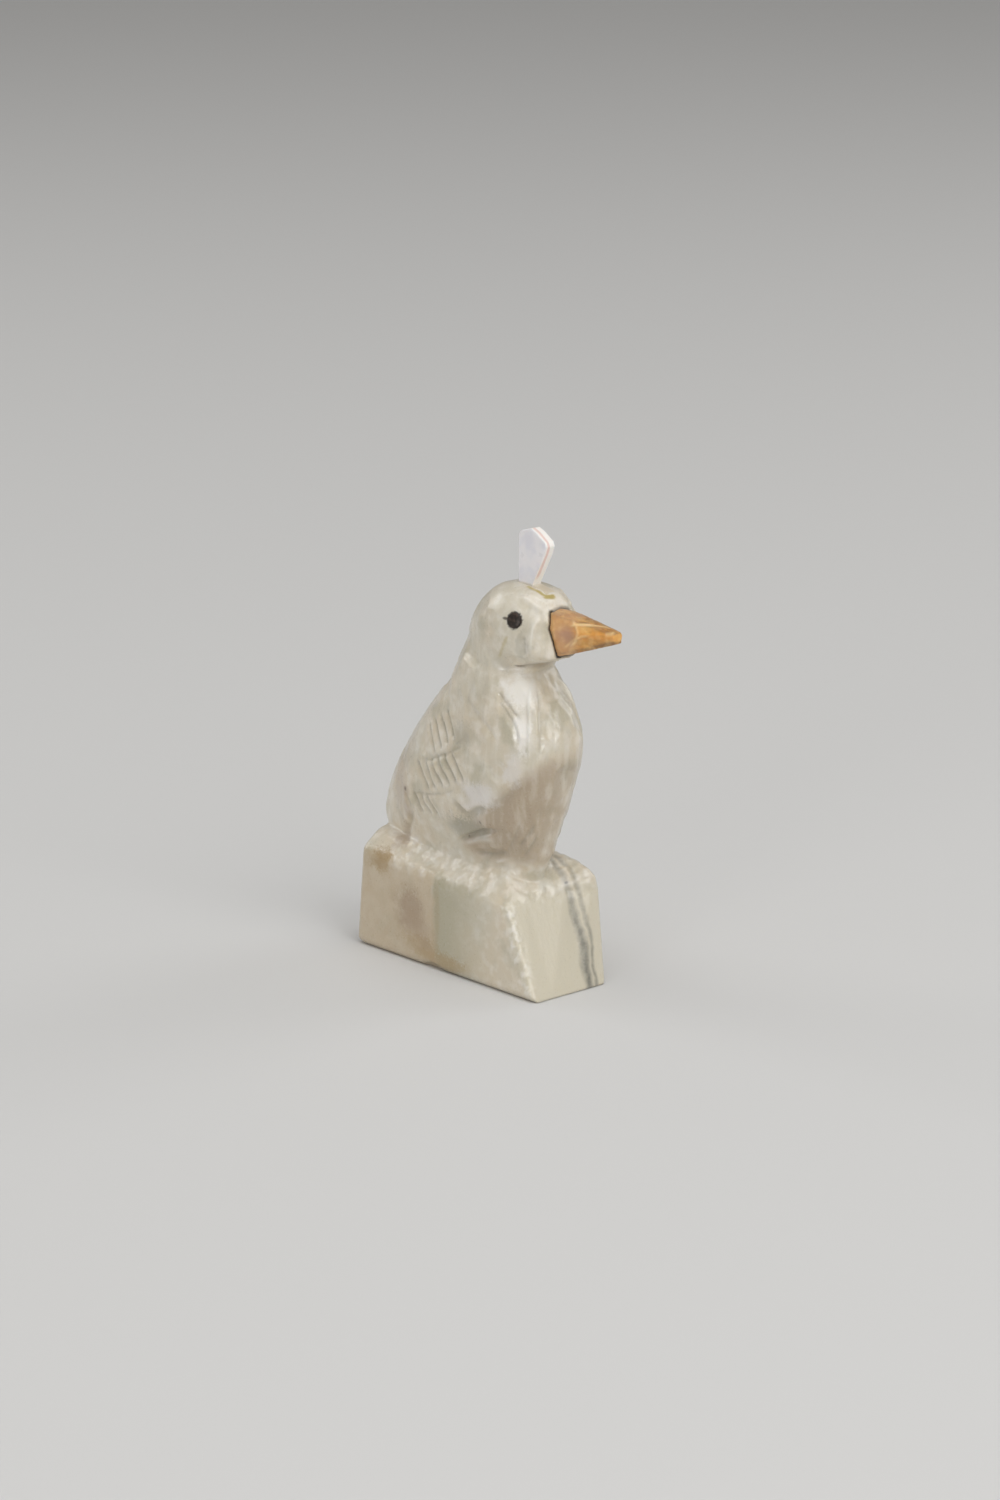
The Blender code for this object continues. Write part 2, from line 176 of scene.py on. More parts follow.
# Flat cuts of the knife on the bird: place and depth. Both sides have them, but for those in the
# middle. Then how far they reach, and how many times their depth they may take off.
FLATS = (
    ((9.0, -3.6, 34.2), 0.08),
    ((11.3, -2.3, 34.8), 0.18),
    ((9.6, -2.4, 37.4), 0.15),
    ((9.4, -0.6, 38.4), 0.09),
    ((5.0, -3.4, 33.6), 0.15),
    ((3.6, -2.6, 36.2), 0.15),
    ((8.3, -3.5, 29.3), 0.14),
    ((9.5, -3.5, 26.8), 0.24),
    ((9.8, -3.6, 23.4), 0.18),
    ((11.6, -1.8, 26.2), 0.21),
    ((10.4, -1.1, 29.4), 0.15),
    ((11.4, -2.0, 22.2), 0.08),
    ((10.9, -2.2, 18.6), 0.07),
    ((9.6, -2.2, 15.6), 0.06),
    ((5.4, -4.2, 28.2), 0.12),
    ((6.4, -4.5, 22.6), 0.11),
    ((6.8, -4.4, 19.2), 0.12),
    ((-2.6, -2.6, 26.0), 0.15),
    ((-6.4, -2.0, 20.0), 0.15),
    ((0.2, -2.6, 30.4), 0.15),
    ((12.6, 0.4, 24.4), 0.06),
    ((11.2, 0.0, 18.0), 0.05),
)
FLAT_REACH = 3.5
FLAT_LIMIT = 2.0
MIDDLE = 1.0

# The flat that bevels the block's front on the right: place, tilt away from the way the surface
# faces, depth and reach.
BEVEL = ((8.2, -4.64, 5.0), (0.150, 0.0, 0.085), 0.02, 9.0)

# How far the carving is evened out to tell which way it faces on the whole.
CALMING = 25

# How the tools work: how fast a cut's ends rise, how a ridge is bruised and given painted highlight
# by its height, how a flat fades at its rim, how nearly the surface faces its way, how near the
# points lie that seat it and how much deeper it may go, the finer knocks and how pale knocks are,
# as bruise and painted highlight, and the share of the way to its neighbours that rubbing moves a
# point.
END_SLOPE = 5
RIDGE_BRUISE_AND_HIGHLIGHT = 7
RIDGE_BRUISE_AND_HIGHLIGHT_LIMIT = 0.6
FLAT_FADE = 4
FLAT_FACING = (0.5, 0.75)
FLAT_SEAT = 1.2
FLAT_SLACK = 0.1
FINE_KNOCKS = 2.3
KNOCK_CONTRAST = 2.2
KNOCK_LIGHT = 0.15
RUB = 0.8

# Small hand cuts strewn over the bird: seed, how many, their depth, reach and tilt. They keep above
# the block, off ground that is already carved this deep, and this far from the eyes.
HAND_SEED = 23
HAND_CUTS = 420
HAND_DEPTH = (0.015, 0.065)
HAND_REACH = 2.2
HAND_TILT = 0.05
HAND_LOWEST = 13.0
HAND_LEVEL = 0.05
EYE_CLEARANCE = 2.4

# Fine upright strokes over the breast and the back: how many, half width, depth, length, drift as
# a share of the length, lean, and how high up they are. They keep off the feathers, which lie in
# this run and under this height. In front of FRONT_FROM they are drawn on the front.
STROKES = 200
STROKE_WIDTH = (0.16, 0.34)
STROKE_DEPTH = (-0.02, 0.035)
STROKE_LENGTH = (1.0, 3.2)
STROKE_DRIFT = 0.15
STROKE_LEAN = 0.3
STROKE_HEIGHTS = (17.0, 31.0)
FEATHER_RUN = (-6, 4)
FEATHER_TOP = 26.5
FRONT_FROM = 10.2

# Zones of the block: limits along an axis, each with the place where the zone starts and the place
# where it is full. A limit that is given twice rises later.
ZONES = {
    "join under the breast": ((Z, 10.4, 11.2), (Z, 13.0, 12.2), (X, 5.5, 7.5)),
    "worked top": ((Z, 7.6, 9.4), (Z, 12.6, 11.6), (X, -11.0, -6.0)),
    "front edge": ((Y, -3.4, -4.0), (Z, 0.2, 1.2), (Z, 10.0, 9.0)),
    "lower right edge": ((Z, 0.9, 0.0), (Z, 0.9, 0.0), (Y, -3.6, -4.6)),
    "lower rear edge": ((Z, 1.0, 0.0), (Z, 1.0, 0.0), (X, -11.8, -13.0)),
}

# How often the join is rubbed smooth. Knocks on the block's top and its front edge: their height,
# how many to a millimetre, and how pale, as bruise and painted highlight. The front edge's place
# forward at a height, how far it leans back with the height, and its reach. How much of the lower
# edges is worn off.
JOIN_ROUNDS = 30
TOP_KNOCKS = (0.10, 1.1, 0.4)
EDGE_KNOCKS = (0.10, 1.6, 1.0)
FRONT_EDGE = (8.4, 8.8, 0.42)
FRONT_EDGE_REACH = (1.2, 0.3)
RIGHT_WEAR = 0.35
REAR_WEAR = 0.4

# Stains drawn on the figure: face, path, how often its corners are cut, half the width, where
# across it the stain is full, and its strength.
STAINS = {
    "glue by the crest": (
        "top", ((7.9, -0.95), (8.8, -0.98), (9.7, -0.9), (10.25, -0.7), (10.35, -0.1)),
        0, 0.26, 0.4, 1.0,
    ),
    "drop of glue": ("top", ((10.2, -0.75), (10.45, -0.3)), 0, 0.42, 0.5, 1.0),
    "vein on the cheek": (
        "right", ((8.0, 34.4), (7.6, 33.7), (7.3, 33.0), (6.8, 32.3)), 2, 0.26, 0.2, 0.45,
    ),
}

# Gaps where the inlays meet the stone, darkened with painted shade: width, depth and how fast they
# darken. The beak's is clear on its right side, and only a share of that elsewhere.
GAPS = (("beak", 0.34, 0.20), ("eye_right", 0.11, 0.06), ("eye_left", 0.11, 0.06))
GAP_SEARCH = 0.6
GAP_LIMIT = 1.0
GAP_DARKNESS = 2.4
BEAK_GAP_FROM = -0.9
BEAK_GAP_SHARE = 0.35

# Boxes that hold the rims of the beak's and the crest's slots. The eyes' holes: how far their rims
# lie from the axis and along it from the middle of the plug, and the axis on the left.
SLOTS = (((10.4, -1.77, 32.66), (13.0, 1.77, 37.41)), ((5.8, -0.84, 37.0), (10.3, 0.84, 38.95)))
EYE_HOLE = (1.03, 1.6)
EYE_LEAN = (0.28, 0.94, 0.20)

# The beak's flats: place, tilt and depth. Its ridges, painted pale as wear and painted highlight:
# path, half the width and depth. The hollow at its root: place, reach, depth and how much each axis
# counts. Where its lower and upper faces look, for their shade, and its small knocks.
BEAK_FLATS = (
    ((15.6, -0.55, 36.5), (0.0, 0.0, 0.0), 0.05),
    ((18.9, 0.0, 36.2), (0.3, 0.0, 0.3), 0.05),
)
BEAK_RIDGES = (
    (
        ((13.4, -1.2, 36.0), (14.4, -1.0, 36.3), (15.6, -0.8, 36.5),
         (16.5, -0.5, 36.5), (17.4, -0.1, 36.5), (18.6, 0.3, 36.3)),
        0.24, -0.07,
    ),
    (
        ((13.6, -0.8, 36.8), (14.5, -1.0, 36.2), (14.9, -1.2, 35.6),
         (14.4, -1.1, 34.7), (13.5, -1.1, 34.0)),
        0.30, -0.06,
    ),
    (((12.8, -1.2, 33.7), (14.1, -1.2, 34.8), (15.3, -1.1, 35.4), (16.5, -0.9, 35.7)), 0.24, -0.06),
    (((17.9, -0.6, 35.9), (18.6, -0.4, 36.1), (18.9, -0.2, 36.3)), 0.40, -0.05),
)
BEAK_HOLLOW = ((13.3, -1.35, 35.1), 1.35, 0.22, (0.75, 1.0, 0.9))
HOLLOW_FLOOR = 0.2
BEAK_UPPER = (0.25, 0.6)
BEAK_UPPER_SHADE = 0.8
BEAK_LOWER = (-0.05, -0.35)
BEAK_KNOCKS = (0.03, 1.5, 0.1)

# Borders of the stone's colours: where each starts and where it is full. The belly's border slopes
# up forward from a height, and the block's rear and front borders slope too.
BELLY_SLOPE, BELLY_HEIGHT = 0.84, 13.4
BELLY_BORDER = (-0.5, 1.6)
BELLY_FEET = (11.0, 13.0)
BELLY_FRONT = (0.0, 3.0)
BELLY_RIGHT = (1.5, -3.4)
BIRD_FEET = (11.5, 13.5)
BLOCK_TOP = (10.2, 8.4)
REAR_SLOPE, REAR_BORDER = 0.08, (-0.7, -1.3)
FRONT_SLOPE, FRONT_BORDER = 0.45, (11.6, 12.4)
RIGHT_BORDER = (-3.6, -4.3)
RIGHT_FADE = (8.5, -1.0)

# Veins on the block: their places across, half widths, how much the first widens to the foot, how
# strong the second is, and where they begin at the top and are widest.
FIRST_VEIN = 2.4
FIRST_VEIN_WIDTH = 0.55
FIRST_VEIN_SPREAD = 0.25
SECOND_VEIN = 3.25
SECOND_VEIN_WIDTH = 0.40
SECOND_VEIN_SHARE = 0.7
VEIN_TOP = (12.4, 11.4)
VEIN_FOOT = (11.0, 1.0)

# Borders of the inlays' colours: the pink root of the beak, the crest's pale edge layer, measured
# in from its faces, its pink band across, from this height up, and its cream toe.
BEAK_ROOT = (15.4, 13.6)
CREST_LAYER = (0.12, 0.03)
CREST_BAND_MIDDLE = -0.22
CREST_BAND = (0.24, 0.08)
CREST_BAND_FOOT = (39.2, 39.9)
CREST_TOE = (39.1, 38.7)

# Spots of colour on the stone, among them painted highlights and painted shade: name of the colour,
# middle, half sizes, strength. Spots that are large enough have a wavy edge.
WAVY_FROM = 1
SPOTS = (
    # Painted highlight on the throat, over paler stone.
    ("pale", (8.9, -3.0, 29.4), (2.6, 2.4, 2.8), 0.9),
    ("shade", (9.6, -3.2, 34.0), (1.0, 1.2, 2.4), 0.4),
    # Painted highlight on the breast, beside its ridge.
    ("pale", (9.9, -3.6, 25.6), (1.2, 1.2, 3.2), 0.95),
    ("pale", (9.6, -0.4, 38.2), (2.2, 1.8, 1.6), 0.5),
    ("lavender", (5.0, -4.6, 18.6), (3.4, 1.2, 1.8), 0.75),
    ("lavender", (3.8, -4.6, 17.0), (1.8, 1.0, 1.0), 0.6),
    ("lavender", (9.0, -4.0, 21.8), (1.4, 1.2, 2.6), 0.55),
    ("shade", (2.6, -4.4, 24.2), (2.6, 1.2, 1.7), 0.38),
    ("shade", (4.2, -4.2, 27.4), (2.6, 1.2, 3.0), 0.15),
    ("shade", (2.5, -4.0, 14.6), (4.4, 1.4, 1.9), 0.8),
    ("tan", (-8.0, -1.5, 17.0), (2.6, 3.4, 5.0), 0.55),
    ("tan", (-6.2, -1.5, 21.0), (2.0, 2.6, 3.0), 0.3),
    ("ochre", (-9.1, -4.3, 9.2), (2.1, 1.8, 1.7), 0.75),
    ("ochre", (-10.6, -4.0, 9.2), (2.6, 1.8, 1.3), 0.4),
    ("ochre", (0.2, -4.7, 1.0), (4.4, 1.5, 1.3), 0.6),
    ("ochre", (-3.4, -4.7, 2.0), (3.6, 1.5, 1.4), 0.5),
    ("ochre", (-1.2, -4.7, 5.4), (0.8, 1.5, 5.0), 0.3),
    ("red_brown", (-4.9, -4.6, 5.1), (2.8, 1.6, 3.2), 0.6),
    ("red_brown", (-2.9, -4.6, 3.2), (1.6, 1.4, 2.2), 0.3),
    ("red_brown", (-8.2, -2.8, 11.6), (1.2, 1.4, 2.2), 0.5),
    ("red_brown", (-7.0, -3.4, 14.2), (0.9, 1.2, 1.8), 0.4),
    ("pit", (-7.0, -3.5, 16.6), (0.34, 0.6, 0.34), 0.9),
    ("red_brown", (-7.0, -3.5, 16.4), (1.0, 1.0, 0.9), 0.4),
    ("pit", (9.7, 2.3, 9.8), (0.2, 0.3, 0.2), 0.9),
    ("pit", (4.5, -4.2, 15.8), (0.35, 0.6, 0.3), 0.7),
    ("pit", (7.4, -3.7, 32.1), (0.18, 0.6, 0.42), 0.9),
    ("pit", (7.70, -3.6, 36.15), (0.45, 0.6, 0.2), 0.85),
    # Darker brown under the jaw.
    ("jaw_brown", (8.55, -2.6, 31.45), (0.9, 0.8, 0.30), 0.95),
    ("jaw_brown", (10.6, -1.0, 31.6), (2.8, 2.8, 0.8), 0.5),
)

# How much closer the points of the eyes lie than those of the other inlays.
EYE_FINENESS = 0.7

# Stage, in metres: the point in the middle of the photograph's frame, the point that the lights
# look at, the floor, and the softboxes: name, azimuth, elevation, distance, size and property.
AIM = Vector((0.00062, 0.00206, 0.02099))
LIT_PLACE = Vector((0.0, 0.0, 0.02))
FLOOR_RADIUS = 4.0
AMBIENT_COLOUR = (1.0, 0.99, 0.97)
SOFTBOXES = (
    ("low left softbox", 20, 6, 0.7, 0.22, "left_light"),
    ("right softbox", 82, 35, 0.7, 0.4, "right_light"),
    ("top softbox", 60, 78, 0.8, 0.6, "top_light"),
    ("rear left softbox", -70, 25, 0.7, 0.35, "rear_light"),
    ("rear right softbox", 165, 25, 0.7, 0.35, "rear_light"),
)


class Carving:
    """The surface of a mesh in millimetres, and the cuts of a carver's tools in it."""

    def __init__(self, item):
        self.item = item
        mesh = item.data
        self.points = read(mesh.vertices, "co")
        self.normals = read(mesh.vertices, "normal")
        edges = np.zeros(len(mesh.edges) * 2, np.int32)
        mesh.edges.foreach_get("vertices", edges)
        self.edges = edges.reshape(-1, 2)
        self.marks = {
            name: np.zeros(len(self.points)) for name in ("dirt", "bruise", "glue", "gap", "shade")
        }
        self.calm = self.average(self.points, CALMING)
        calm_normals = self.average(self.normals, CALMING)
        self.calm_normals = calm_normals / np.linalg.norm(calm_normals, axis=1)[:, None]
        self.tree = BVHTree.FromPolygons(
            [Vector(point) for point in self.points],
            [tuple(face.vertices) for face in mesh.polygons],
        )

    def average(self, values, rounds):
        """Vectors evened out between neighbouring points."""
        count = len(values)
        starts, ends = self.edges.T
        shares = np.bincount(starts, minlength=count) + np.bincount(ends, minlength=count)
        for _ in range(rounds):
            sums = [
                np.bincount(starts, column[ends], count) + np.bincount(ends, column[starts], count)
                for column in values.T
            ]
            values = np.stack([column / shares for column in sums], axis=1)
        return values

    def settle(self):
        """Give the mesh its new shape, and read which way it faces now."""
        mesh = self.item.data
        mesh.vertices.foreach_set("co", self.points.astype(np.float32).ravel())
        mesh.update()
        self.normals = read(mesh.vertices, "normal")

    def finish(self):
        """Settle, and store the marks for the material to read."""
        self.settle()
        for name, values in self.marks.items():
            attribute = self.item.data.attributes.new(name, "FLOAT", "POINT")
            attribute.data.foreach_set("value", values.astype(np.float32))

    def under(self, face, place):
        """Point of the surface under a place drawn on a face, or None where there is none."""
        direction, origin = FACES[face]
        return self.tree.ray_cast(origin(*place), direction)[0]

    def draw(self, face, path, rounds=2):
        """Line on the surface under a path drawn on a face, with its corners cut."""
        line = []
        for place in rounded(path, rounds):
            point = self.under(face, place)
            if point is None:
                raise ValueError(f"nothing lies under {place} on the {face}")
            line.append(np.array(point))
        return line

    def near(self, middle, reach):
        """Numbers of the points within a reach of a place."""
        return np.nonzero(np.abs(self.points - middle).max(axis=1) < reach)[0]

    def mark(self, name, chosen, values):
        """Mark points at least so strongly."""
        self.marks[name][chosen] = np.maximum(self.marks[name][chosen], values)

    def follow(self, line, half_width):
        """Points along a line: their numbers, how far along and how far across they lie."""
        line = np.array(line)
        steps = np.linalg.norm(np.diff(line, axis=0), axis=1)
        middle = (line.min(axis=0) + line.max(axis=0)) / 2
        chosen = self.near(middle, np.abs(line - middle).max() + half_width)
        points = self.points[chosen]
        distance = np.full(len(chosen), np.inf)
        along = np.zeros(len(chosen))
        across = np.zeros(len(chosen))
        done = 0.0
        for start, end, length in zip(line[:-1], line[1:], steps):
            step = (end - start) / length
            run = np.clip((points - start) @ step, 0, length)
            offset = points - start - run[:, None] * step
            reach = np.linalg.norm(offset, axis=1)
            closer = reach < distance
            side = np.sign((offset * np.cross(self.normals[chosen], step)).sum(axis=1))
            distance[closer] = reach[closer]
            along[closer] = (done + run[closer]) / steps.sum()
            across[closer] = (reach * side)[closer] / half_width
            done += length
        within = np.abs(across) < 1
        return chosen[within], along[within], across[within]

    def cut(self, line, half_width, depth, lean=0.0, dirt=0.0):
        """Draw a tool along a line. A negative depth leaves a ridge."""
        chosen, along, across = self.follow(line, half_width)
        slope = np.where(across < lean, (across + 1) / (1 + lean), (1 - across) / (1 - lean))
        slope = slope * np.clip(np.minimum(along, 1 - along) * END_SLOPE, 0, 1)
        profile = slope * slope * (3 - 2 * slope)
        self.points[chosen] -= self.normals[chosen] * (profile * depth)[:, None]
        # The cut is darkened as dirt and painted shade, and a ridge painted pale as bruise and
        # painted highlight.
        self.mark("dirt", chosen, profile**2 * dirt)
        if depth < 0:
            self.mark("bruise", chosen, profile * min(-depth * RIDGE_BRUISE_AND_HIGHLIGHT, RIDGE_BRUISE_AND_HIGHLIGHT_LIMIT))

    def flatten(self, place, normal, depth, reach, limit):
        """Take off what stands over a flat that goes in to a depth, as far as it reaches."""
        chosen = self.near(place, reach)
        offset = self.points[chosen] - place
        over = np.clip(offset @ normal + depth, 0, None)
        over *= np.clip((1 - np.linalg.norm(offset, axis=1) / reach) * FLAT_FADE, 0, 1)
        over *= rise(self.calm_normals[chosen] @ normal, *FLAT_FACING)
        self.points[chosen] -= normal * np.minimum(over, limit)[:, None]

    def plane_off(self, place, depth, reach, tilt=(0.0, 0.0, 0.0)):
        """Plane a flat under the surface by a depth, facing as the surface does but for a tilt."""
        chosen = self.near(np.array(place), FLAT_SEAT)
        if not len(chosen):
            raise ValueError(f"nothing lies near {place}")
        normal = self.calm_normals[chosen].mean(axis=0) + tilt
        normal /= np.linalg.norm(normal)
        middle = self.calm[chosen].mean(axis=0)
        top = ((self.points[chosen] - middle) @ normal).max()
        self.flatten(middle + normal * top, normal, depth, reach, depth * FLAT_LIMIT + FLAT_SLACK)

    def roughen(self, weights, height, scale, bruise):
        """Break up a surface with uneven knocks, pale on their tops as bruise and painted
        highlight.
        """
        chosen = np.nonzero(weights > 0.01)[0]
        places = self.points[chosen] * scale
        knocks = np.array([
            noise.noise(Vector(place)) + 0.5 * noise.noise(Vector(place * FINE_KNOCKS))
            for place in places
        ])
        self.points[chosen] += self.normals[chosen] * (knocks * weights[chosen] * height)[:, None]
        tops = np.clip(knocks * KNOCK_CONTRAST + KNOCK_LIGHT, 0, 1)
        self.mark("bruise", chosen, tops * weights[chosen] * bruise)

    def soften(self, weights, rounds):
        """Rub a surface smooth, filling its inner corners."""
        for _ in range(rounds):
            self.points += (self.average(self.points, 1) - self.points) * weights[:, None] * RUB


def read(items, name):
    """Vectors of a mesh's points as rows of numbers."""
    values = np.zeros(len(items) * 3, np.float32)
    items.foreach_get(name, values)
    return values.reshape(-1, 3).astype(float)


def rounded(path, rounds):
    """A path with its corners cut, keeping its ends."""
    points = [np.array(place, float) for place in path]
    for _ in range(rounds):
        cut = [points[0]]
        for start, end in zip(points[:-1], points[1:]):
            cut += [start * 0.75 + end * 0.25, start * 0.25 + end * 0.75]
        points = [*cut, points[-1]]
    return points


def node_mesh(node):
    """A merged copy of a solid's mesh, in millimetres."""
    mesh = bmesh.new()
    mesh.from_mesh(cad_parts[node].data)
    bmesh.ops.remove_doubles(mesh, verts=mesh.verts, dist=MERGE)
    bmesh.ops.scale(mesh, vec=(1 / MM,) * 3, verts=mesh.verts)
    return mesh


def new_item(name, mesh):
    """Object of a finished bmesh."""
    data = bpy.data.meshes.new(name)
    mesh.to_mesh(data)
    mesh.free()
    item = bpy.data.objects.new(name, data)
    bpy.context.scene.collection.objects.link(item)
    return item


def skin_anew(item, spacing, smoothing):
    """Give an object one even closed surface, and soften it."""
    remesh = item.modifiers.new("even surface", "REMESH")
    remesh.mode = "VOXEL"
    remesh.voxel_size = spacing
    soften = item.modifiers.new("soften", "SMOOTH")
    soften.factor = 0.5
    soften.iterations = smoothing
    evaluated = item.evaluated_get(bpy.context.evaluated_depsgraph_get())
    mesh = bpy.data.meshes.new_from_object(evaluated)
    item.modifiers.clear()
    item.data = mesh


def finish_piece(item, material, slot, *nodes):
    """Bring a piece to metres, give it its material, and let it stand for its solids."""
    item.data.transform(Matrix.Scale(MM, 4))
    item.data.materials.clear()
    item.data.materials.append(material)
    item.data.shade_smooth()
    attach(item, "root")
    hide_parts(*nodes)


class Value:
    """A socket of a material's nodes. Sums on it add Math nodes."""

    def __init__(self, shader, socket):
        self.shader = shader
        self.socket = socket

    def math(self, operation, first, second):
        return self.shader.node("ShaderNodeMath", {"operation": operation}, {0: first, 1: second})

    def __add__(self, other):
        return self.math("ADD", self, other)

    __radd__ = __add__

    def __sub__(self, other):
        return self.math("SUBTRACT", self, other)

    def __rsub__(self, other):
        return self.math("SUBTRACT", other, self)

    def __mul__(self, other):
        return self.math("MULTIPLY", self, other)

    __rmul__ = __mul__

    def size(self):
        return self.math("ABSOLUTE", self, 0.0)

    def most(self, other):
        return self.math("MAXIMUM", self, other)


class Shader:
    """The nodes of one material, on places in millimetres."""

    def __init__(self, name):
        self.material = bpy.data.materials.new(name)
        self.material.use_nodes = True
        self.tree = self.material.node_tree
        self.tree.nodes.clear()
        self.base = None
        place = self.node("ShaderNodeTexCoord", {}, {}, "Object")
        self.place = self.vector("SCALE", {0: place, "Scale": 1 / MM})
        self.x, self.y, self.z = self.parts(self.place)

    def add(self, kind, settings, inputs):
        """Add a node, set its settings, then its sockets."""
        node = self.tree.nodes.new(kind)
        for name, value in settings.items():
            setattr(node, name, value)
        for name, value in inputs.items():
            if isinstance(value, Value):
                self.tree.links.new(value.socket, node.inputs[name])
            else:
                node.inputs[name].default_value = value
        return node

    def node(self, kind, settings, inputs, output=0):
        """Add a node and give one of its outputs."""
        return Value(self, self.add(kind, settings, inputs).outputs[output])

    def vector(self, operation, inputs, output=0):
        """Add a Vector Math node."""
        return self.node("ShaderNodeVectorMath", {"operation": operation}, inputs, output)

    def parts(self, vector):
        """The three numbers of a vector."""
        node = self.add("ShaderNodeSeparateXYZ", {}, {0: vector})
        return [Value(self, output) for output in node.outputs]

    def attribute(self, name):
        """A value stored on the piece's points."""
        return self.node("ShaderNodeAttribute", {"attribute_name": name}, {}, "Fac")

    def noise(self, scale, detail=3.0, stretch=(1.0, 1.0, 1.0), shift=0.0):
        """Cloudy pattern about one half, so many to a millimetre."""
        moves = {0: self.place, "Scale": stretch, "Location": (shift,) * 3}
        place = self.node("ShaderNodeMapping", {}, moves)
        inputs = {"Vector": place, "Scale": scale, "Detail": detail}
        return self.node("ShaderNodeTexNoise", {}, inputs)

    def between(self, value, low, high):
        """Rise smoothly from 0 at low to 1 at high."""
        return self.node(
            "ShaderNodeMapRange",
            {"interpolation_type": "SMOOTHSTEP"},
            {"Value": value, "From Min": low, "From Max": high},
        )

    def blend(self, share, first, second):
        """Colour that goes from the first to the second."""
        inputs = {0: share, 6: colour(first), 7: colour(second)}
        return self.node("ShaderNodeMix", {"data_type": "RGBA"}, inputs, 2)

    def cover(self, strength, tone):
        """Lay a colour over the base colour."""
        self.base = self.blend(strength, self.base, tone)

    def spot(self, middle, half_sizes, place):
        """Soft spot, 1 in its middle and 0 at its edge."""
        offset = self.vector("SUBTRACT", {0: place, 1: middle})
        shares = self.vector("DIVIDE", {0: offset, 1: half_sizes})
        length = self.vector("LENGTH", {0: shares}, "Value")
        return self.between(length, 1.0, 0.35)

    def bump(self, height, strength, distance, under=None):
        """Fine relief from a height pattern."""
        inputs = {"Strength": strength, "Distance": distance * MM, "Height": height}
        if under is not None:
            inputs["Normal"] = under
        return self.node("ShaderNodeBump", {}, inputs)

    def finish(self, inputs):
        """Put the surface together, on the base colour."""
        shader = self.node("ShaderNodeBsdfPrincipled", {}, {"Base Color": self.base, **inputs})
        self.add("ShaderNodeOutputMaterial", {}, {"Surface": shader})
        return self.material


def colour(value):
    """A colour for a socket, from a link or from three numbers."""
    return value if isinstance(value, Value) else (*value, 1.0)


def stone_material(tones):
    """Cream stone, a little translucent, with bands, stains, the pale bruises of the tools, and
    painted shade and highlights.
    """
    s = Shader("carved stone")
    clouds = s.noise(0.22, 3.0)
    mottle = s.noise(0.9, 4.0, shift=7.0)
    grain = s.noise(5.0, 5.0, shift=3.0)
    waver = mottle - 0.5
    s.base = s.blend(s.between(clouds, 0.35, 0.65), tones.cream, tones.warm_cream)
    s.cover(s.between(mottle, 0.42, 0.75) * 0.4, tones.pale)
    patches = s.noise(0.35, 3.0, shift=21.0)
    s.cover(s.between(patches, 0.50, 0.68) * 0.55, tones.grey_green)
    bird_tones(s, tones, waver)
    block_tones(s, tones, mottle)
    s.cover(vein_strength(s, waver), tones.vein)

    wave = {0: waver * 3.0, 1: waver, 2: (grain - 0.5) * 2.0}
    wave = s.node("ShaderNodeCombineXYZ", {}, wave)
    waved = s.vector("ADD", {0: s.place, 1: wave})
    for name, middle, half_sizes, strength in SPOTS:
        place = waved if min(half_sizes) >= WAVY_FROM else s.place
        s.cover(s.spot(middle, half_sizes, place) * strength, getattr(tones, name))

    dirt = s.attribute("dirt")
    bruise = s.attribute("bruise")
    glue = s.attribute("glue")
    gap = s.attribute("gap")
    # Dirt and painted shade in the cuts, pale bruises and painted highlights on the ridges and
    # knocks, glue, and painted shade in the gaps round the inlays.
    s.cover(dirt * 0.9, tones.dirt)
    s.cover(bruise * 0.5, tones.bruise)
    s.cover(glue, tones.glue)
    s.cover(gap, tones.gap)
    s.cover(s.between(grain, 0.55, 0.8) * 0.12, tones.bruise)

    brushed = s.noise(2.2, 4.0, (1.0, 1.0, 0.28), 4.0)
    fine = s.noise(9.0, 4.0)
    relief = s.bump(brushed, 0.6, 0.06)
    relief = s.bump(fine, 0.4, 0.02, relief)
    roughness = 0.32 + (grain - 0.5) * 0.3 + bruise * 0.1 + dirt * 0.2
    return s.finish({
        "Roughness": roughness,
        "Normal": relief,
        "Coat Weight": 0.55,
        "Coat Roughness": 0.17,
        "Subsurface Weight": 0.25,
        "Subsurface Radius": (1.0, 0.85, 0.6),
        "Subsurface Scale": 0.5 * MM,
        "IOR": 1.5,
        "Specular IOR Level": 0.5,
    })


def bird_tones(s, tones, waver):
    """Pale and grey streaks down the bird, and its tan belly, darkened partly as painted shade."""
    streaks = s.noise(1.1, 4.0, (1.0, 1.0, 0.22), 17.0)
    bird = s.between(s.z, *BIRD_FEET)
    s.cover(s.between(streaks, 0.5, 0.72) * bird * 0.2, tones.pale)
    s.cover(s.between(streaks, 0.48, 0.28) * bird * 0.17, tones.shade)
    # The belly's tan is partly its colour and partly painted shade under the bird.
    belly = s.between(s.x * BELLY_SLOPE + BELLY_HEIGHT - s.z + waver * 1.4, *BELLY_BORDER)
    belly = belly * s.between(s.z, *BELLY_FEET) * s.between(s.x, *BELLY_FRONT)
    fade = s.between(s.y, *BELLY_RIGHT) * 0.45 + 0.42 - s.between(streaks, 0.45, 0.7) * 0.3
    s.cover(belly * fade, tones.tan)


def block_tones(s, tones, mottle):
    """Pinkish rear, greenish right side and warm grey front of the block."""
    waver = mottle - 0.5
    block = s.between(s.z + waver * 1.5, *BLOCK_TOP)
    rear = s.between(s.x + s.z * REAR_SLOPE + waver, *REAR_BORDER)
    right = s.between(s.y, *RIGHT_BORDER) * s.between(s.x, *RIGHT_FADE)
    front = s.between(s.x + s.z * FRONT_SLOPE, *FRONT_BORDER)
    s.cover(block * (s.between(mottle, 0.35, 0.7) * 0.3 + 0.6) * rear, tones.pinkish)
    s.cover(block * (1 - rear) * right, tones.grey_green)
    s.cover(block * front, tones.warm_grey)


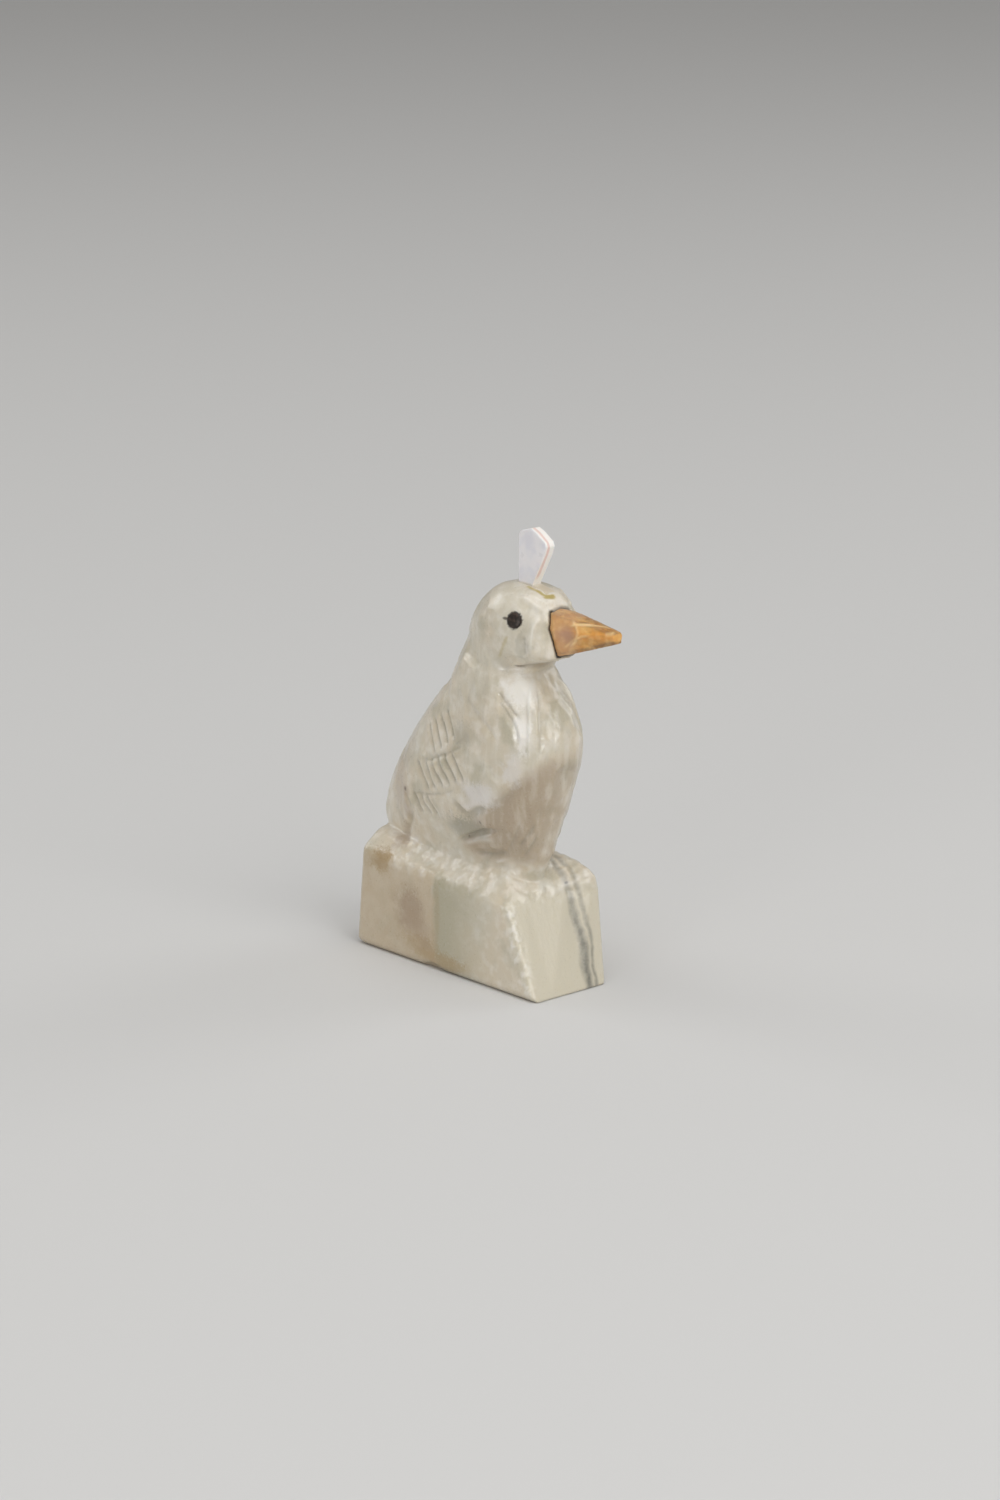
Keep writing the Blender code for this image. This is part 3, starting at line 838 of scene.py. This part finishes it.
def vein_strength(s, waver):
    """How strongly the two grey veins of the block show."""
    specks = s.between(s.noise(1.6, 5.0, shift=13.0), 0.36, 0.62)
    wander = waver * 0.5 + (s.noise(0.25, 2.0, shift=31.0) - 0.5) * 0.8
    foot = s.between(s.z, *VEIN_FOOT)
    width = foot * FIRST_VEIN_SPREAD + FIRST_VEIN_WIDTH
    first = s.between((s.y - FIRST_VEIN + wander).size(), width, 0.0)
    second = s.between((s.y - SECOND_VEIN + wander).size(), SECOND_VEIN_WIDTH, 0.0)
    veins = first.most(second * SECOND_VEIN_SHARE) * (specks * 0.25 + 0.75)
    return veins * s.between(s.z, *VEIN_TOP) * (foot * 0.35 + 0.6)


def beak_material(tones):
    """Golden amber-coloured stone, mottled pink and brown."""
    s = Shader("amber stone")
    clouds = s.noise(0.8, 4.0, (0.6, 1.0, 1.0))
    mottle = s.noise(2.2, 4.0, (0.5, 1.0, 1.0), 9.0)
    s.base = s.blend(s.between(clouds, 0.38, 0.62), tones.amber, tones.gold)
    s.cover(s.between(mottle, 0.55, 0.75) * 0.25, tones.amber_brown)
    strokes = s.noise(2.6, 4.0, (0.35, 1.4, 1.0), 5.0)
    shade = s.attribute("shade") * (0.95 - s.between(strokes, 0.45, 0.7) * 0.5)
    s.cover(shade, tones.amber_brown)
    root = s.between(s.x + (mottle - 0.5) * 2.0, *BEAK_ROOT)
    s.cover(root * 0.55, tones.amber_pink)
    s.cover(s.attribute("dirt") * 0.7, tones.amber_shade)
    # Pale gold on the ridges and knocks, as wear and painted highlights.
    worn = s.attribute("bruise") * (s.between(clouds, 0.3, 0.6) * 0.8 + 1.1)
    s.cover(worn, tones.pale_gold)
    relief = s.bump(s.noise(3.5, 4.0), 0.3, 0.04)
    return s.finish({
        "Roughness": 0.34 + (mottle - 0.5) * 0.3,
        "Normal": relief,
        "Subsurface Weight": 0.2,
        "Subsurface Radius": (1.0, 0.5, 0.2),
        "Subsurface Scale": 0.7 * MM,
        "IOR": 1.52,
    })


def crest_material(tones, half_thickness):
    """White shell, with pink layers along its edges."""
    s = Shader("shell")
    flat = s.between(s.y.size(), *(half_thickness - layer for layer in CREST_LAYER))
    layers = s.noise(1.2, 2.0, (0.3, 4.0, 0.3))
    band = s.between((s.y + (layers - 0.5) * 0.3 - CREST_BAND_MIDDLE).size(), *CREST_BAND)
    edge = s.blend(band * s.between(s.z, *CREST_BAND_FOOT), tones.shell_edge, tones.shell_pink)
    clouds = s.noise(0.6, 3.0)
    face = s.blend(s.between(clouds, 0.4, 0.65), tones.shell_white, tones.shell_lavender)
    s.base = s.blend(flat, edge, face)
    s.cover(s.between(s.z, *CREST_TOE), tones.warm_cream)
    relief = s.bump(s.noise(5.0, 3.0), 0.15, 0.02)
    return s.finish({
        "Roughness": 0.3 + (clouds - 0.5) * 0.15,
        "Normal": relief,
        "Subsurface Weight": 0.3,
        "Subsurface Radius": (1.0, 0.8, 0.75),
        "Subsurface Scale": 0.4 * MM,
        "IOR": 1.53,
    })


def eye_material(tones):
    """Polished dark brown stone."""
    s = Shader("dark stone")
    mottle = s.noise(4.0, 4.0)
    s.base = s.blend(s.between(mottle, 0.45, 0.7), tones.eye, tones.eye_brown)
    relief = s.bump(s.noise(6.0, 4.0), 0.35, 0.03)
    return s.finish({
        "Roughness": 0.34 + (mottle - 0.4) * 0.3,
        "Normal": relief,
        "Specular IOR Level": 0.4,
        "IOR": 1.5,
    })


def floor_material(tones):
    """Plain pale matt floor."""
    s = Shader("pale floor")
    s.base = colour(tones.floor)
    return s.finish({"Roughness": 0.85, "Specular IOR Level": 0.2})


def tone(name, description, value):
    """Property for one colour."""
    return FloatVectorProperty(
        name=name, description=description, default=value, min=0.0, max=1.0, size=3, subtype="COLOR"
    )


def length(name, description, value):
    """Property for one length, given in millimetres and kept in metres."""
    return FloatProperty(
        name=name, description=description, default=value * MM, min=0.0, subtype="DISTANCE",
        unit="LENGTH",
    )


def power(name, description, value):
    """Property for the power of a light, in watts."""
    return FloatProperty(name=name, description=description, default=value, min=0.0, unit="POWER")


def turn(name, description, degrees):
    """Property for an angle, given in degrees and kept in radians."""
    value = math.radians(degrees)
    return FloatProperty(name=name, description=description, default=value, subtype="ANGLE")


class QuailSizes(bpy.types.PropertyGroup):
    """Sizes of the finer carving."""

    spacing: length("Surface spacing", "Space between points of the stone's surface", 0.176)
    inlay_spacing: length("Inlay spacing", "Space between points of the inlays' surfaces", 0.07)
    feather_width: length("Feather cut", "Half the width of a feather cut", 0.5)
    feather_depth: length("Feather depth", "Depth of a feather cut", 0.22)


class QuailColours(bpy.types.PropertyGroup):
    """Colours of the stones and the stage."""

    cream: tone("Cream", "Main colour of the stone", (0.62, 0.57, 0.46))
    warm_cream: tone("Warm cream", "Warmer clouds in the stone", (0.64, 0.56, 0.43))
    # Pale clouds, and the painted highlights on the throat and the breast.
    pale: tone("Pale", "Palest clouds in the stone", (0.84, 0.81, 0.75))
    grey_green: tone("Grey green", "Greenish grey clouds and block's side", (0.43, 0.395, 0.285))
    # Tan of the lower breast, laid on partly as painted shade under the belly.
    tan: tone("Tan", "Tan of the lower breast", (0.4, 0.31, 0.215))
    pinkish: tone("Pinkish", "Pinkish brown of the block's rear", (0.5, 0.4, 0.27))
    warm_grey: tone("Warm grey", "Colour of the block's front", (0.63, 0.58, 0.46))
    lavender: tone("Lavender", "Cool pale clouds low on the wing", (0.74, 0.71, 0.68))
    # Painted shade by the wing, under it and on the cheek, and grey streaks down the bird.
    shade: tone("Shade", "Grey olive clouds by the wing", (0.36, 0.335, 0.26))
    vein: tone("Vein", "Grey veins on the block's front", (0.17, 0.165, 0.14))
    ochre: tone("Ochre", "Ochre spots", (0.36, 0.245, 0.11))
    red_brown: tone("Red brown", "Red-brown spots", (0.31, 0.21, 0.13))
    pit: tone("Pit", "Small dark pits", (0.06, 0.045, 0.035))
    # Darker brown under the jaw.
    jaw_brown: tone("Stain", "Brown stain under the jaw", (0.16, 0.1, 0.05))
    # Dirt and painted shade in the cuts.
    dirt: tone("Dirt", "Dirt held in the cuts", (0.3, 0.27, 0.2))
    # Pale bruises and painted highlights on the ridges and knocks.
    bruise: tone("Bruise", "Pale bruises left by the tools", (0.88, 0.86, 0.81))
    glue: tone("Glue", "Old glue by the crest", (0.44, 0.35, 0.12))
    # Painted shade in the gaps round the beak and the eyes.
    gap: tone("Gap", "Dark gap round the beak", (0.025, 0.018, 0.012))
    amber: tone("Amber", "Main colour of the beak", (0.72, 0.33, 0.07))
    gold: tone("Gold", "Golden clouds of the beak", (0.8, 0.45, 0.13))
    # Worn edges and painted highlights on the beak's ridges.
    pale_gold: tone("Pale gold", "Worn edges of the beak", (0.9, 0.66, 0.34))
    amber_brown: tone("Amber brown", "Brown mottling of the beak", (0.25, 0.135, 0.055))
    amber_pink: tone("Amber pink", "Pinkish root of the beak", (0.62, 0.36, 0.2))
    amber_shade: tone("Amber shade", "Hollow at the beak's root", (0.5, 0.29, 0.2))
    shell_white: tone("Shell white", "Main colour of the crest's faces", (0.82, 0.8, 0.81))
    shell_edge: tone("Shell edge", "Palest layers of the crest's edge", (0.93, 0.89, 0.84))
    shell_lavender: tone("Shell lavender", "Cool clouds of the crest", (0.74, 0.73, 0.77))
    shell_pink: tone("Shell pink", "Pink layers of the crest's edge", (0.82, 0.62, 0.56))
    eye: tone("Eye", "Main colour of the eyes", (0.02, 0.014, 0.011))
    eye_brown: tone("Eye brown", "Brown clouds of the eyes", (0.06, 0.04, 0.03))
    floor: tone("Floor", "Colour of the floor", (0.66, 0.655, 0.645))


class QuailStage(bpy.types.PropertyGroup):
    """Light and camera."""

    left_light: power("Left light", "Power of the light on the camera's left", 1.1)
    right_light: power("Right light", "Power of the light on the camera's right", 1.6)
    top_light: power("Top light", "Power of the top light", 2.3)
    rear_light: power("Rear light", "Power of each rear light", 0.75)
    ambient: FloatProperty(
        name="Ambient", description="Strength of the even light around", default=0.3, min=0.0
    )
    azimuth: turn("Azimuth", "Camera's turn round the carving", 48.0)
    elevation: turn("Elevation", "Camera's height as an angle", 15.5)
    distance: length("Distance", "From the aim to the camera", 450.0)
    lens: FloatProperty(
        name="Lens", description="Focal length on a 36 mm wide picture", default=113.4, min=1.0,
        unit="CAMERA",
    )


class QuailFigure(bpy.types.Operator):
    """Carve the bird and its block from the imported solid"""

    bl_idname = "quail.figure"
    bl_label = "Carve the figure"

    def execute(self, context):
        sizes = context.scene.quail_sizes
        mesh = node_mesh("figure")
        fill_slots(mesh)
        item = new_item("carved_figure", mesh)
        skin_anew(item, sizes.spacing / MM, smoothing=3)
        carving = Carving(item)
        carve_figure(carving, sizes)
        finish_piece(item, stone_material(context.scene.quail_colours), "stone", "figure")
        return {"FINISHED"}


def node_box(node):
    """Lowest and highest corner of a solid, in millimetres."""
    low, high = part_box(node)
    return low / MM, high / MM


def fill_slots(mesh):
    """Close the slots and holes round the inlays with the stone dust and glue that hold them."""
    rims = []
    for low, high in SLOTS:
        rims.append([
            vert.co.copy() for vert in mesh.verts
            if all(least < place < most for least, place, most in zip(low, vert.co, high))
        ])
    reach, half_depth = EYE_HOLE
    for node in ("eye_right", "eye_left"):
        low, high = node_box(node)
        middle = (low + high) / 2
        axis = Vector(EYE_LEAN).normalized()
        axis.y = math.copysign(axis.y, middle.y)
        rims.append([
            vert.co.copy() for vert in mesh.verts
            if (vert.co - middle).cross(axis).length < reach
            and abs((vert.co - middle).dot(axis)) < half_depth
        ])
    for rim in rims:
        plug = bmesh.new()
        for place in rim:
            plug.verts.new(place)
        bmesh.ops.convex_hull(plug, input=plug.verts)
        inside = [vert for vert in plug.verts if not vert.link_faces]
        bmesh.ops.delete(plug, geom=inside, context="VERTS")
        copy = bpy.data.meshes.new("filling")
        plug.to_mesh(copy)
        plug.free()
        mesh.from_mesh(copy)


def carve_figure(carving, sizes):
    """All cuts in the figure, on both sides where both have them."""
    generator = np.random.default_rng(HAND_SEED)
    plane_flats(carving)
    carving.settle()
    strew_hand_cuts(carving, generator)
    carving.settle()
    for side, flip in (("right", 1), ("left", -1)):
        cut_lines(carving, side, flip)
        cut_feathers(carving, side, flip, sizes)
    strew_strokes(carving, generator)
    carving.settle()
    work_block(carving)
    carving.settle()
    line_gaps(carving)
    for face, path, rounds, half_width, full, strength in STAINS.values():
        chosen, _, across = carving.follow(carving.draw(face, path, rounds), half_width)
        carving.mark("glue", chosen, rise(np.abs(across), 1.0, full) * strength)
    carving.finish()


def plane_flats(carving):
    """The knife's flats on the bird, and the block's bevel."""
    for place, depth in FLATS:
        for side in (1, -1) if abs(place[Y]) > MIDDLE else (1,):
            carving.plane_off(place * np.array((1, side, 1)), depth, FLAT_REACH)
    place, tilt, depth, reach = BEVEL
    carving.plane_off(place, depth, reach, tilt)


def cut_lines(carving, side, flip):
    """The lines of one half, turned over for the left."""
    for face, path, half_width, depth, lean, dirt in LINES.values():
        if face == "side":
            line = carving.draw(side, path)
        else:
            line = carving.draw(face, [(across * flip, up) for across, up in path])
        carving.cut(line, half_width, depth, lean * flip, dirt)


def cut_feathers(carving, side, flip, sizes):
    """The rows of feathers of one wing, each cut with a ridge in front of it."""
    half_width = sizes.feather_width / MM
    depth = sizes.feather_depth / MM
    for first, last, run, count in FEATHERS:
        for share in np.linspace(0, 1, count):
            top = np.array(first) * (1 - share) + np.array(last) * share
            path = [
                top + np.array(run) * t + (0, -FEATHER_SAG * t * (1 - t)) for t in FEATHER_STEPS
            ]
            line = carving.draw(side, path)
            carving.cut(line, half_width, depth, FEATHER_LEAN * flip, FEATHER_DIRT_AND_SHADE)
            ridge = [place + FEATHER_RIDGE for place in line]
            carving.cut(ridge, half_width * RIDGE_WIDTH, -depth * RIDGE_HEIGHT)


def zone(points, name, weights=1.0):
    """How far points lie inside a zone of the block, from 0 to 1."""
    for axis, start, full in ZONES[name]:
        weights = weights * rise(points[:, axis], start, full)
    return weights


def work_block(carving):
    """The smooth join under the breast, and the block's knocked and worn edges."""
    points = carving.points
    carving.soften(zone(points, "join under the breast"), JOIN_ROUNDS)
    carving.roughen(zone(points, "worked top"), *TOP_KNOCKS)
    forward, height, slope = FRONT_EDGE
    distance = np.abs(points[:, X] - forward - (height - points[:, Z]) * slope)
    edge = zone(points, "front edge", rise(distance, *FRONT_EDGE_REACH))
    carving.roughen(edge, *EDGE_KNOCKS)
    points[:, Y] += zone(points, "lower right edge") * RIGHT_WEAR
    points[:, X] += zone(points, "lower rear edge") * REAR_WEAR


def rise(values, low, high):
    """Rise smoothly from 0 at low to 1 at high, as numbers."""
    share = np.clip((values - low) / (high - low), 0, 1)
    return share * share * (3 - 2 * share)


def strew_hand_cuts(carving, generator):
    """Small flats all over the bird."""
    offset = ((carving.points - carving.calm) * carving.calm_normals).sum(axis=1)
    bird = np.nonzero((carving.points[:, Z] > HAND_LOWEST) & (np.abs(offset) < HAND_LEVEL))[0]
    eyes = [sum(node_box(node), Vector()) / 2 for node in ("eye_right", "eye_left")]
    for index in generator.choice(bird, HAND_CUTS, replace=False):
        place = carving.points[index].copy()
        depth = generator.uniform(*HAND_DEPTH)
        normal = carving.calm_normals[index] + generator.normal(0, HAND_TILT, 3)
        if min((Vector(place) - eye).length for eye in eyes) > EYE_CLEARANCE:
            normal = normal / np.linalg.norm(normal)
            carving.flatten(place, normal, depth, HAND_REACH, depth * FLAT_LIMIT)


def strew_strokes(carving, generator):
    """Fine strokes that run down the breast and the back."""
    low, high = STROKE_HEIGHTS
    heights = carving.points[:, Z]
    chosen = np.nonzero((heights > low) & (heights < high))[0]
    for index in generator.choice(chosen, STROKES, replace=False):
        x, y, z = carving.points[index]
        if FEATHER_RUN[0] < x < FEATHER_RUN[1] and z < FEATHER_TOP:
            continue
        face = "front" if x > FRONT_FROM else "right" if y < 0 else "left"
        across = y if face == "front" else x
        drop = generator.uniform(*STROKE_LENGTH)
        drift = generator.uniform(-STROKE_DRIFT, STROKE_DRIFT) * drop
        line = [carving.under(face, (across + drift * t, z - drop * t)) for t in (0, 0.5, 1)]
        if None in line:
            continue
        half_width = generator.uniform(*STROKE_WIDTH)
        carving.cut(line, half_width, generator.uniform(*STROKE_DEPTH), STROKE_LEAN)


def line_gaps(carving):
    """Thin gaps where the inlays meet the stone, darkened with painted shade."""
    for node, width, depth in GAPS:
        inlay = BVHTree.FromBMesh(node_mesh(node))
        low, high = node_box(node)
        middle = np.array((low + high) / 2)
        for index in carving.near(middle, max(high - low) / 2 + GAP_SEARCH):
            distance = inlay.find_nearest(Vector(carving.points[index]), GAP_LIMIT)[3]
            if distance is None or distance > width:
                continue
            share = 1 - distance / width
            if node == "beak" and carving.points[index][Y] >= BEAK_GAP_FROM:
                share *= BEAK_GAP_SHARE
            # Painted shade in the gap, darkest next to the inlay.
            carving.mark("gap", index, min(share * GAP_DARKNESS, 1.0))
            carving.points[index] -= carving.normals[index] * share * depth


class QuailBeak(bpy.types.Operator):
    """Shape the inlaid beak"""

    bl_idname = "quail.beak"
    bl_label = "Shape the beak"

    def execute(self, context):
        item = new_item("inlaid_beak", node_mesh("beak"))
        skin_anew(item, context.scene.quail_sizes.inlay_spacing / MM, smoothing=3)
        carving = Carving(item)
        carve_beak(carving)
        finish_piece(item, beak_material(context.scene.quail_colours), "beak", "beak")
        return {"FINISHED"}


def carve_beak(carving):
    """Facets of the beak, the hollow at its root, its ridges and its shade."""
    for place, tilt, depth in BEAK_FLATS:
        carving.plane_off(place, depth, FLAT_REACH, tilt)
    place, reach, depth, weights = BEAK_HOLLOW
    chosen = carving.near(np.array(place), reach)
    distance = np.linalg.norm((carving.points[chosen] - place) * weights, axis=1)
    profile = rise(distance, reach, HOLLOW_FLOOR)
    carving.points[chosen, Y] += profile * depth
    carving.mark("dirt", chosen, profile)
    up = carving.calm_normals[:, Z]
    shade = np.maximum(rise(up, *BEAK_UPPER) * BEAK_UPPER_SHADE, rise(up, *BEAK_LOWER))
    carving.mark("shade", slice(None), shade)
    for path, half_width, depth in BEAK_RIDGES:
        line = [carving.tree.find_nearest(Vector(place))[0] for place in path]
        carving.cut(line, half_width, depth)
    carving.roughen(np.ones(len(carving.points)), *BEAK_KNOCKS)
    carving.finish()


class QuailCrest(bpy.types.Operator):
    """Shape the shell crest"""

    bl_idname = "quail.crest"
    bl_label = "Shape the crest"

    def execute(self, context):
        low, high = node_box("crest")
        item = new_item("shell_crest", node_mesh("crest"))
        skin_anew(item, context.scene.quail_sizes.inlay_spacing / MM, smoothing=2)
        finish_piece(item, crest_material(context.scene.quail_colours, high.y), "crest", "crest")
        return {"FINISHED"}


class QuailEyes(bpy.types.Operator):
    """Shape the two eyes"""

    bl_idname = "quail.eyes"
    bl_label = "Shape the eyes"

    def execute(self, context):
        material = eye_material(context.scene.quail_colours)
        spacing = context.scene.quail_sizes.inlay_spacing / MM * EYE_FINENESS
        for node, name in (("eye_right", "eye_plug_right"), ("eye_left", "eye_plug_left")):
            item = new_item(name, node_mesh(node))
            skin_anew(item, spacing, smoothing=2)
            finish_piece(item, material, "eye", node)
        return {"FINISHED"}


class QuailStageSet(bpy.types.Operator):
    """Set the floor, the lights and the camera"""

    bl_idname = "quail.stage"
    bl_label = "Set the stage"

    def execute(self, context):
        stage = context.scene.quail_stage
        colours = context.scene.quail_colours
        mesh = bmesh.new()
        bmesh.ops.create_circle(mesh, cap_ends=True, segments=96, radius=FLOOR_RADIUS)
        floor = new_item("floor", mesh)
        floor.data.materials.append(floor_material(colours))
        add_camera(context, stage)
        for name, azimuth, elevation, distance, size, power_name in SOFTBOXES:
            place = polar(azimuth, elevation, distance)
            add_light(name, place, LIT_PLACE, size, getattr(stage, power_name))
        world = bpy.data.worlds.new("even light")
        world.use_nodes = True
        background = world.node_tree.nodes["Background"]
        background.inputs["Color"].default_value = (*AMBIENT_COLOUR, 1.0)
        background.inputs["Strength"].default_value = stage.ambient
        context.scene.world = world
        context.scene.view_settings.view_transform = "Standard"
        return {"FINISHED"}


def polar(azimuth, elevation, distance):
    """Point seen from the middle at an azimuth, as a view has it, and an elevation, in degrees."""
    a, e = math.radians(azimuth), math.radians(elevation)
    return Vector((math.sin(a) * math.cos(e), -math.cos(a) * math.cos(e), math.sin(e))) * distance


def add_camera(context, stage):
    """Camera at the photograph's place, aimed at the middle of its frame."""
    data = bpy.data.cameras.new("camera")
    data.sensor_width = 36.0
    data.lens = stage.lens
    data.clip_start = 0.01
    camera = bpy.data.objects.new("camera", data)
    back = polar(math.degrees(stage.azimuth), math.degrees(stage.elevation), 1.0)
    camera.location = AIM + back * stage.distance
    camera.rotation_euler = back.to_track_quat("Z", "Y").to_euler()
    context.scene.collection.objects.link(camera)
    context.scene.camera = camera


def add_light(name, place, aim, size, power):
    """Square soft light."""
    data = bpy.data.lights.new(name, "AREA")
    data.energy = power
    data.size = size
    light = bpy.data.objects.new(name, data)
    light.location = place
    light.rotation_euler = (place - aim).to_track_quat("Z", "Y").to_euler()
    bpy.context.scene.collection.objects.link(light)


class QuailPanel(bpy.types.Panel):
    """Sizes, colours and steps of the carving"""

    bl_idname = "VIEW3D_PT_quail"
    bl_label = "Quail carving"
    bl_space_type = "VIEW_3D"
    bl_region_type = "UI"
    bl_category = "Quail"

    def draw(self, context):
        for name in ("quail_sizes", "quail_colours", "quail_stage"):
            group = getattr(context.scene, name)
            column = self.layout.column()
            for key in group.__annotations__:
                column.prop(group, key)
        for operator in OPERATORS:
            self.layout.operator(operator.bl_idname)


GROUPS = {"quail_sizes": QuailSizes, "quail_colours": QuailColours, "quail_stage": QuailStage}
OPERATORS = (QuailFigure, QuailBeak, QuailCrest, QuailEyes, QuailStageSet)


def register():
    for kind in (*GROUPS.values(), *OPERATORS, QuailPanel):
        bpy.utils.register_class(kind)
    for name, group in GROUPS.items():
        setattr(bpy.types.Scene, name, PointerProperty(type=group))


def unregister():
    for name in GROUPS:
        delattr(bpy.types.Scene, name)
    for kind in reversed((*GROUPS.values(), *OPERATORS, QuailPanel)):
        bpy.utils.unregister_class(kind)


def main():
    register()
    bpy.ops.quail.figure()
    bpy.ops.quail.beak()
    bpy.ops.quail.crest()
    bpy.ops.quail.eyes()
    bpy.ops.quail.stage()


if __name__ == "__main__":
    main()
